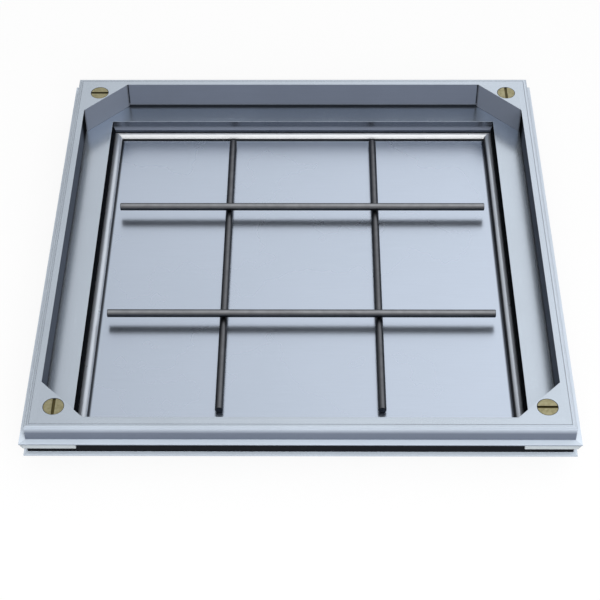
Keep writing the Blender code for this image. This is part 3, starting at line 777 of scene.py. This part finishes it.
def rolled_steel(name, along):
    """Dark rolled steel: mill scale with lines along the rod, and a highlight painted on its upper front.
    """
    material, tree, shader, place = new_material(name)
    lines, blotches = grain_along(tree, place, along, ROD_LINE_SCALE, ROD_BLOTCH_SCALE)
    # Painted highlight on the faces that look up and to the front.
    likeness = node(
        tree, "ShaderNodeVectorMath", {0: place["Normal"], 1: ROD_HIGHLIGHT_WAY}, operation="DOT_PRODUCT")
    crown = stretch(tree, likeness.outputs["Value"], *ROD_HIGHLIGHT_TURN)
    colour = uneven(tree, blend(tree, crown, ROD_COLOUR, ROD_HIGHLIGHT[along]), lines, blotches, *ROD_UNEVEN)
    feed(tree, shader, colour, stretch(tree, blotches, 0, 1, *ROD_ROUGHNESS), lines, *ROD_BUMP)
    shader.inputs["Metallic"].default_value = 1.0
    return material


rod_metal = {along: rolled_steel(f"rod_steel_painted_highlight_{along}", along) for along in "xy"}
for side, along in (("left", "y"), ("right", "y"), ("front", "x"), ("back", "x")):
    low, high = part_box(f"bed_rod_{side}")
    bpy.ops.object.select_all(action="DESELECT")
    bpy.ops.mesh.primitive_cylinder_add(
        vertices=ROD_SIDES, radius=(high.z - low.z) / 2, depth=max(high.x - low.x, high.y - low.y),
        location=(low + high) / 2, rotation=(math.pi / 2, 0, 0) if along == "y" else (0, math.pi / 2, 0))
    rod = bpy.context.object
    rod.name = f"reinforcing_rod_{side}"
    bpy.ops.object.transform_apply(location=True, rotation=True, scale=True)
    break_edges(rod, ROD_END_ROUND, 3, lambda edge: True)
    shade(rod)
    fit(rod, "cover", f"bed_rod_{side}", rod_metal[along])

# Corner gussets: triangular plates of cast aluminium with a diagonal wall, welded into each corner of
# the tray flush with the rim and bored for the plug. The weld closes the gap to the rails, and the top
# is brushed together with the rim and painted lighter as light. The diagonal wall is darkened as painted
# shade, and the bore and the seams at the rails are painted darker still as shade.
# The diagonal wall's dull skin, darkened as painted shade; the bore and the seams are painted darker
# still as shade.
GUSSET_SKIN_AND_SHADE = (0.19, 0.218, 0.275)
GUSSET_SHADE = (0.025, 0.026, 0.03)
GUSSET_EDGE_BREAK = 0.0003
GUSSET_SEAM = (0.002, 0.0005)
GUSSET_SEAM_SHADE_SHARE = 0.5
GUSSET_TOP = (0.001, 0.0005)
DIAGONAL_SLACK = 0.001
WELD_GAP = 0.0003
BORE_EDGE = 0.0139
BORE_FADE = 0.0003
plug_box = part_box("plug_back_right")
lock_half = (plug_box[0].x + plug_box[1].x) / 2


def gusset_layers(tree, facing, spot):
    """Painted shade in a gusset's bore about the lock's axis and seams; painted light on its brushed top.
    """
    # Painted shade where the diagonal wall meets the rails, and in the bore about the lock's axis.
    near_end = calc(
        tree, "MINIMUM", calc(tree, "ABSOLUTE", spot["X"]), calc(tree, "ABSOLUTE", spot["Y"]))
    seam_ends = (gusset_low.x + distance for distance in GUSSET_SEAM)
    seam = stretch(tree, near_end, *seam_ends, 0.0, GUSSET_SEAM_SHADE_SHARE)
    across = [calc(tree, "SUBTRACT", calc(tree, "ABSOLUTE", spot[axis]), lock_half) for axis in "XY"]
    squares = calc(
        tree, "ADD", calc(tree, "POWER", across[0], 2.0), calc(tree, "POWER", across[1], 2.0))
    bore = stretch(tree, calc(tree, "SQRT", squares), BORE_EDGE + BORE_FADE, BORE_EDGE)
    # Painted light: the top gets the tray's lighter colour.
    top_ends = (gusset_high.z - distance for distance in GUSSET_TOP)
    top = all_of(tree, stretch(tree, facing, *LEANS_UP), stretch(tree, spot["Z"], *top_ends))
    shine = all_of(tree, top, stretch(tree, facing, *LIES_FLAT))
    return [(bore, GUSSET_SHADE), (seam, GUSSET_SHADE), (top, TRAY_LIT_COLOUR)], shine


def is_diagonal_top(edge):
    """Whether an edge is the top edge of the diagonal wall."""
    run = (edge.verts[1].co - edge.verts[0].co).normalized()
    on_top = all(abs(vert.co.z - gusset_high.z) < MERGE_DISTANCE for vert in edge.verts)
    return on_top and abs(run.x + run.y) < DIAGONAL_SLACK and edge.calc_length() > 2 * BORE_EDGE


gusset_model = copy_of("corner_gusset_back_right", "gusset_model")
edit(gusset_model)
for axis, weld in enumerate(((WELD_GAP, 0, 0), (0, WELD_GAP, 0))):
    pick(gusset_model, "verts", lambda vert: vert.co[axis] > gusset_high[axis] - MERGE_DISTANCE)
    bpy.ops.transform.translate(value=weld)
leave()
break_edges(gusset_model, GUSSET_EDGE_BREAK, 2, is_diagonal_top)
gusset_metal = aluminium("gusset_aluminium_painted_light", "x", GUSSET_SKIN_AND_SHADE, gusset_layers)
for turns, corner in enumerate(CORNERS):
    gusset = turned_copy(gusset_model, f"corner_plate_{corner}", turns)
    fit(gusset, "cover", f"corner_gusset_{corner}", gusset_metal)
bpy.data.objects.remove(gusset_model)

# Lock sockets: short plated steel tubes under the gussets, which keep the infill out of the lock
# holes. Both ends are faced off and broken.
SOCKET_WALL = 0.0028
SOCKET_EDGE_BREAK = 0.0003
TUBE_SIDES = 64
ROUND_EDGE_ANGLE = math.radians(60)


def tube(cad_name, wall):
    """A round tube about a CAD piece's upright axis, in that piece's box and with that wall."""
    low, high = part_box(cad_name)
    middle = (low + high) / 2
    outer = (high.x - low.x) / 2
    inner_share = (outer - wall) / outer
    bpy.ops.object.select_all(action="DESELECT")
    bpy.ops.mesh.primitive_circle_add(
        vertices=TUBE_SIDES, radius=outer, location=(middle.x, middle.y, low.z))
    piece = bpy.context.object
    bpy.ops.object.transform_apply(location=True, rotation=True, scale=True)
    edit(piece)
    bpy.ops.mesh.select_all(action="SELECT")
    bpy.ops.mesh.extrude_edges_move(TRANSFORM_OT_translate={"value": (0, 0, high.z - low.z)})
    bpy.ops.mesh.extrude_edges_move(TRANSFORM_OT_translate={"value": (0, 0, 0)})
    bpy.ops.transform.resize(
        value=(inner_share, inner_share, 1), center_override=(middle.x, middle.y, high.z))
    bpy.ops.mesh.extrude_edges_move(TRANSFORM_OT_translate={"value": (0, 0, low.z - high.z)})
    pick(piece, "edges", lambda edge: len(edge.link_faces) == 1)
    bpy.ops.mesh.bridge_edge_loops()
    bpy.ops.mesh.select_all(action="SELECT")
    bpy.ops.mesh.normals_make_consistent(inside=False)
    leave()
    return piece


def is_round_edge(edge):
    """Whether an edge is one step of a round corner between a flat end and a wall."""
    return edge.calc_face_angle() > ROUND_EDGE_ANGLE


socket_model = tube("lock_socket_back_right", SOCKET_WALL)
break_edges(socket_model, SOCKET_EDGE_BREAK, 2, is_round_edge)
for turns, corner in enumerate(CORNERS):
    socket = turned_copy(socket_model, f"lock_tube_{corner}", turns)
    fit(socket, "cover", f"lock_socket_{corner}", plated)
bpy.data.objects.remove(socket_model)

# Plugs: turned brass plugs with a screwdriver slot and a cut thread, screwed into each gusset over the
# lock bolt. The heads show the lathe's rings and have dulled out of doors, and their slots are painted
# dark as shade.
BRASS_COLOUR = (0.35, 0.325, 0.20)
BRASS_TARNISH = (0.20, 0.175, 0.08)
BRASS_METAL = 0.9
BRASS_ROUGHNESS = (0.30, 0.48)
BRASS_BUMP = (0.2, 0.0001)
LATHE_SCALE = 420.0
LATHE_DISTORTION = 1.0
LATHE_DETAIL = 2.0
TARNISH_NOISE = (260.0, 5.0, 0.7)
TARNISH_SPAN = (0.4, 0.7)
TARNISH_SHARE = 0.7
# Painted shade in the screwdriver slot.
PLUG_SLOT_SHADE = (0.05, 0.038, 0.008)
PLUG_SLOT_SHADE_SHARE = 0.9
PLUG_SLOT_SHADE_TOP = (0.0002, 0.0005)
PLUG_SLOT_SHADE_FLOOR = (0.0003, 0.0001)
PLUG_SIDES = 96
PLUG_HEAD_THICKNESS = 0.0035
PLUG_CHAMFER = 0.0004
PLUG_SHANK_RADIUS = 0.008
PLUG_PITCH = 0.002
PLUG_THREAD_DEPTH = 0.0011
PLUG_SLOT_WIDTH = 0.004
PLUG_SLOT_DEPTH = 0.0016
STEPS_PER_PITCH = 8
Z_WAY = Vector((0, 0, 1))


def thread_rings(low, high, radius, pitch, depth):
    """Rings of a right-hand thread from one height to another, as (radius by turn, height)."""
    count = round((high - low) / pitch * STEPS_PER_PITCH)
    rings = []
    for step in range(count + 1):
        level = low + (high - low) * step / count
        runout = min(1.0, (level - low) / pitch, (high - level) / pitch)

        def reach(turn, level=level, runout=runout):
            tooth = abs(2 * ((level / pitch - turn / (2 * math.pi)) % 1) - 1)
            return radius - depth * (1 - tooth * runout)
        rings.append((reach, level))
    return rings


def turned_piece(name, rings, sides):
    """A solid turned about the vertical through the origin, from rings of (radius by turn, height)."""
    count = len(rings)
    bpy.ops.object.select_all(action="DESELECT")
    bpy.ops.mesh.primitive_cylinder_add(
        vertices=sides, radius=1, depth=count - 1, location=(0, 0, (count - 1) / 2))
    piece = bpy.context.object
    piece.name = name
    bpy.ops.object.transform_apply(location=True, rotation=True, scale=True)
    edit(piece)
    pick(piece, "edges", lambda edge: runs_along(edge, Z_WAY))
    bpy.ops.mesh.subdivide(number_cuts=count - 2)
    shape = bmesh.from_edit_mesh(piece.data)
    for vert in shape.verts:
        reach, level = rings[round(vert.co.z)]
        turn = math.atan2(vert.co.y, vert.co.x)
        vert.co = (reach(turn) * math.cos(turn), reach(turn) * math.sin(turn), level)
    bmesh.update_edit_mesh(piece.data)
    leave()
    return piece


def plain(radius):
    """A radius that is the same at every turn."""
    return lambda turn: radius


def sink(piece, cutter):
    """Takes a cutter out of a piece and removes the cutter."""
    hold(piece)
    boolean = piece.modifiers.new("sink", "BOOLEAN")
    boolean.operation = "DIFFERENCE"
    boolean.solver = "EXACT"
    boolean.object = cutter
    bpy.ops.object.modifier_apply(modifier=boolean.name)
    bpy.data.objects.remove(cutter)


def turned_brass(name, axis, top):
    """Dulled brass with lathe rings about the axis of one plug, and painted shade in its slot."""
    material, tree, shader, place = new_material(name)
    centred = node(
        tree, "ShaderNodeMapping", {"Vector": place["Object"], "Location": (-axis.x, -axis.y, 0)})
    rings = node(
        tree, "ShaderNodeTexWave",
        {"Vector": centred.outputs[0], "Scale": LATHE_SCALE, "Distortion": LATHE_DISTORTION,
         "Detail": LATHE_DETAIL},
        wave_type="RINGS", rings_direction="Z").outputs["Fac"]
    clouds = noise(tree, place["Object"], *TARNISH_NOISE)
    tarnish = stretch(tree, clouds, *TARNISH_SPAN, 0.0, TARNISH_SHARE)
    height = split(tree, place["Object"])["Z"]
    # Painted shade on the walls and floor of the slot.
    slot_top = (top - depth for depth in PLUG_SLOT_SHADE_TOP)
    slot_floor = (top - PLUG_SLOT_DEPTH - depth for depth in PLUG_SLOT_SHADE_FLOOR)
    sunk = all_of(tree, stretch(tree, height, *slot_top), stretch(tree, height, *slot_floor))
    colour = blend(tree, tarnish, BRASS_COLOUR, BRASS_TARNISH)
    colour = blend(tree, calc(tree, "MULTIPLY", sunk, PLUG_SLOT_SHADE_SHARE), colour, PLUG_SLOT_SHADE)
    roughness = stretch(tree, tarnish, 0, TARNISH_SHARE, *BRASS_ROUGHNESS)
    feed(tree, shader, colour, roughness, rings, *BRASS_BUMP)
    shader.inputs["Metallic"].default_value = BRASS_METAL
    return material


plug_radius = (plug_box[1].x - plug_box[0].x) / 2
plug_bottom = plug_box[0].z
plug_top = plug_box[1].z
head_bottom = plug_top - PLUG_HEAD_THICKNESS
plug_rings = [(plain(PLUG_SHANK_RADIUS - 2 * PLUG_THREAD_DEPTH), plug_bottom)]
plug_rings += thread_rings(
    plug_bottom + PLUG_CHAMFER, head_bottom, PLUG_SHANK_RADIUS, PLUG_PITCH, PLUG_THREAD_DEPTH)
plug_rings += [
    (plain(plug_radius - PLUG_CHAMFER), head_bottom), (plain(plug_radius), head_bottom + PLUG_CHAMFER),
    (plain(plug_radius), plug_top - PLUG_CHAMFER), (plain(plug_radius - PLUG_CHAMFER), plug_top)]
plug_model = turned_piece("plug_model", plug_rings, PLUG_SIDES)
bpy.ops.object.select_all(action="DESELECT")
bpy.ops.mesh.primitive_cube_add(size=1, location=(0, 0, plug_top))
slot_cutter = bpy.context.object
slot_cutter.scale = (PLUG_SLOT_WIDTH, 4 * plug_radius, 2 * PLUG_SLOT_DEPTH)
bpy.ops.object.transform_apply(location=True, rotation=True, scale=True)
sink(plug_model, slot_cutter)
plug_model.data.transform(Matrix.Translation((lock_half, lock_half, 0)))
for turns, corner in enumerate(CORNERS):
    plug = turned_copy(plug_model, f"slotted_plug_{corner}", turns)
    low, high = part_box(f"plug_{corner}")
    brass = turned_brass(f"plug_brass_slot_shade_{corner}", (low + high) / 2, plug_top)
    fit(plug, f"brass_plug_{corner}", f"plug_{corner}", brass)
bpy.data.objects.remove(plug_model)

# Plug seals: flat rubber rings that keep water out of the lock holes. They are stamped from sheet, lie
# in the gussets' recesses under the heads of the plugs, and ride up with them.
PLUG_SEAL_WALL = 0.0043
PLUG_SEAL_ROUND = 0.0004
ring_model = tube("plug_seal_back_right", PLUG_SEAL_WALL)
break_edges(ring_model, PLUG_SEAL_ROUND, 2, is_round_edge)
for turns, corner in enumerate(CORNERS):
    ring = turned_copy(ring_model, f"plug_ring_{corner}", turns)
    fit(ring, f"seal_ring_{corner}", f"plug_seal_{corner}", rubber)
bpy.data.objects.remove(ring_model)

# Lock bolts: plated steel cap screws with a knurled head, a hexagon socket and a rolled thread. They
# pass down the sockets into the nuts under the seat, and pull the tray down on its seal.
BOLT_SIDES = 72
BOLT_HEAD_RADIUS = 0.0065
BOLT_HEAD_HEIGHT = 0.008
BOLT_CHAMFER = 0.0005
BOLT_KNURL = 0.00015
BOLT_RADIUS = 0.004
BOLT_PITCH = 0.00125
BOLT_THREAD_DEPTH = 0.0007
BOLT_HEX = 0.006
BOLT_HEX_DEPTH = 0.004


def knurled(turn):
    """The radius of the knurled head, high and low from one side to the next."""
    return BOLT_HEAD_RADIUS - BOLT_KNURL * (round(turn * BOLT_SIDES / (2 * math.pi)) % 2)


bolt_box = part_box("lock_bolt_back_right")
bolt_bottom = bolt_box[0].z
bolt_top = bolt_box[1].z
shoulder = bolt_top - BOLT_HEAD_HEIGHT
bolt_rings = [(plain(BOLT_RADIUS - BOLT_THREAD_DEPTH - BOLT_CHAMFER), bolt_bottom)]
bolt_rings += thread_rings(
    bolt_bottom + BOLT_CHAMFER, shoulder, BOLT_RADIUS, BOLT_PITCH, BOLT_THREAD_DEPTH)
bolt_rings += [
    (plain(BOLT_HEAD_RADIUS - BOLT_CHAMFER), shoulder), (knurled, shoulder + BOLT_CHAMFER),
    (knurled, bolt_top - 2 * BOLT_CHAMFER), (plain(BOLT_HEAD_RADIUS - BOLT_CHAMFER), bolt_top)]
bolt_model = turned_piece("bolt_model", bolt_rings, BOLT_SIDES)
bpy.ops.object.select_all(action="DESELECT")
bpy.ops.mesh.primitive_cylinder_add(
    vertices=6, radius=BOLT_HEX / math.sqrt(3), depth=2 * BOLT_HEX_DEPTH, location=(0, 0, bolt_top))
hex_cutter = bpy.context.object
bpy.ops.object.transform_apply(location=True, rotation=True, scale=True)
sink(bolt_model, hex_cutter)
bolt_model.data.transform(Matrix.Translation((lock_half, lock_half, 0)))
for turns, corner in enumerate(CORNERS):
    bolt = turned_copy(bolt_model, f"cap_screw_{corner}", turns)
    fit(bolt, f"bolt_{corner}", f"lock_bolt_{corner}", plated)
bpy.data.objects.remove(bolt_model)

# Lock washers: flat washers of plated steel between the heads of the bolts and the ledge. They are
# stamped, so the press has rounded their edges.
WASHER_WALL = 0.0037
WASHER_ROUND = 0.0003
washer_model = tube("lock_washer_back_right", WASHER_WALL)
break_edges(washer_model, WASHER_ROUND, 2, is_round_edge)
for turns, corner in enumerate(CORNERS):
    washer = turned_copy(washer_model, f"flat_washer_{corner}", turns)
    fit(washer, f"washer_{corner}", f"lock_washer_{corner}", plated)
bpy.data.objects.remove(washer_model)

# Floor and backdrop: a wide floor of plain white paper, and a low round wall of it that hides the far
# edge. To the camera and in mirrors the paper mostly glows, so it looks white and keeps a soft shadow.
FLOOR_SIZE = 14.0
FLOOR_COLOUR = (0.90, 0.90, 0.90)
FLOOR_GLOW_SHARE = 0.90
BACKDROP_RADIUS = 6.9
BACKDROP_HEIGHT = 1.5
BACKDROP_SIDES = 96

paper, paper_tree, paper_shader, _ = new_material("floor_paper")
paper_shader.inputs["Base Color"].default_value = (*FLOOR_COLOUR, 1)
paper_shader.inputs["Roughness"].default_value = 1.0
paper_shader.inputs["Specular IOR Level"].default_value = 0.0
path = node(paper_tree, "ShaderNodeLightPath").outputs
seen = calc(paper_tree, "MAXIMUM", path["Is Camera Ray"], path["Is Glossy Ray"])
seen = calc(paper_tree, "MAXIMUM", seen, path["Is Transmission Ray"])
glow = node(paper_tree, "ShaderNodeEmission", {"Strength": 1.0})
glowing = calc(paper_tree, "MULTIPLY", seen, FLOOR_GLOW_SHARE)
mixed = node(
    paper_tree, "ShaderNodeMixShader", {0: glowing, 1: paper_shader.outputs[0], 2: glow.outputs[0]})
paper_tree.links.new(mixed.outputs[0], paper_tree.nodes["Material Output"].inputs["Surface"])

bpy.ops.object.select_all(action="DESELECT")
bpy.ops.mesh.primitive_plane_add(size=FLOOR_SIZE)
floor = bpy.context.object
floor.name = "floor"
bpy.ops.mesh.primitive_cylinder_add(
    vertices=BACKDROP_SIDES, radius=BACKDROP_RADIUS, depth=BACKDROP_HEIGHT, end_fill_type="NOTHING",
    location=(0, 0, BACKDROP_HEIGHT / 2))
backdrop = bpy.context.object
backdrop.name = "backdrop"
for sheet_of_paper in (floor, backdrop):
    sheet_of_paper.data.materials.append(paper)

# Sky: the soft even light of a studio, with one broad bright patch behind and above the cover, which
# the brushed faces mirror to the viewer. The patch fades at both sides and is brighter to the right.
SKY_LEVEL = 0.30
SKY_PEAK = 0.75
SKY_PEAK_WAY = (0.0, 0.5, 0.866)
SKY_PATCH = (0.17, 0.88)
SKY_TILT = 0.36
SKY_TILT_SPAN = (-0.25, 0.25)
SKY_LEFT_FADE = (-0.75, -0.12)
SKY_RIGHT_FADE = (1.0, 0.6)

world = bpy.data.worlds.new("studio")
world.use_nodes = True
sky = world.node_tree
sight = node(sky, "ShaderNodeTexCoord").outputs["Generated"]
nearness = node(sky, "ShaderNodeVectorMath", {0: sight, 1: SKY_PEAK_WAY}, operation="DOT_PRODUCT")
across = split(sky, sight)["X"]
patch = stretch(sky, nearness.outputs["Value"], *SKY_PATCH, 0.0, SKY_PEAK)
tilt = stretch(sky, across, *SKY_TILT_SPAN, 1 - SKY_TILT, 1 + SKY_TILT)
narrow = all_of(sky, stretch(sky, across, *SKY_LEFT_FADE), stretch(sky, across, *SKY_RIGHT_FADE))
room = sky.nodes["Background"]
room.inputs["Color"].default_value = (1, 1, 1, 1)
sky.links.new(calc(sky, "ADD", all_of(sky, patch, tilt, narrow), SKY_LEVEL), room.inputs["Strength"])
bpy.context.scene.world = world

# Front fill: one large soft lamp in front of the cover and above it, which lifts the walls that face
# the viewer. Neither the camera nor the metal sees the lamp itself.
FILL_PLACE = (0.4, -2.4, 1.5)
FILL_SIZE = 2.0
FILL_ENERGY = 72

fill_data = bpy.data.lights.new("front_fill", "AREA")
fill_data.size = FILL_SIZE
fill_data.energy = FILL_ENERGY
fill = bpy.data.objects.new("front_fill", fill_data)
bpy.context.scene.collection.objects.link(fill)
fill.location = FILL_PLACE
fill.rotation_euler = (-Vector(FILL_PLACE)).to_track_quat("-Z", "Y").to_euler()
fill.visible_camera = False
fill.visible_glossy = False

# Camera: at the photograph's place and angle, worked out from the corners and edges of the cover. It
# is given by its place, the way it looks and its roll, with a plain long lens and no shift.
CAMERA_PLACE = (0.01560, -1.57255, 1.60358)
CAMERA_PITCH = math.radians(46.530)
CAMERA_YAW = math.radians(-0.673)
CAMERA_ROLL = math.radians(-0.437)
CAMERA_LENS = 93.982
ahead = Vector((
    math.sin(CAMERA_YAW) * math.cos(CAMERA_PITCH), math.cos(CAMERA_YAW) * math.cos(CAMERA_PITCH),
    -math.sin(CAMERA_PITCH)))
level_right = Vector((math.cos(CAMERA_YAW), -math.sin(CAMERA_YAW), 0))
level_up = level_right.cross(ahead)
camera_right = math.cos(CAMERA_ROLL) * level_right + math.sin(CAMERA_ROLL) * level_up
camera_up = math.cos(CAMERA_ROLL) * level_up - math.sin(CAMERA_ROLL) * level_right
turned_camera = Matrix((camera_right, camera_up, -ahead)).transposed().to_4x4()
camera_data = bpy.data.cameras.new("camera")
camera_data.lens = CAMERA_LENS
camera = bpy.data.objects.new("camera", camera_data)
bpy.context.scene.collection.objects.link(camera)
camera.matrix_world = Matrix.Translation(CAMERA_PLACE) @ turned_camera
bpy.context.scene.camera = camera
bpy.context.scene.view_settings.view_transform = "Standard"
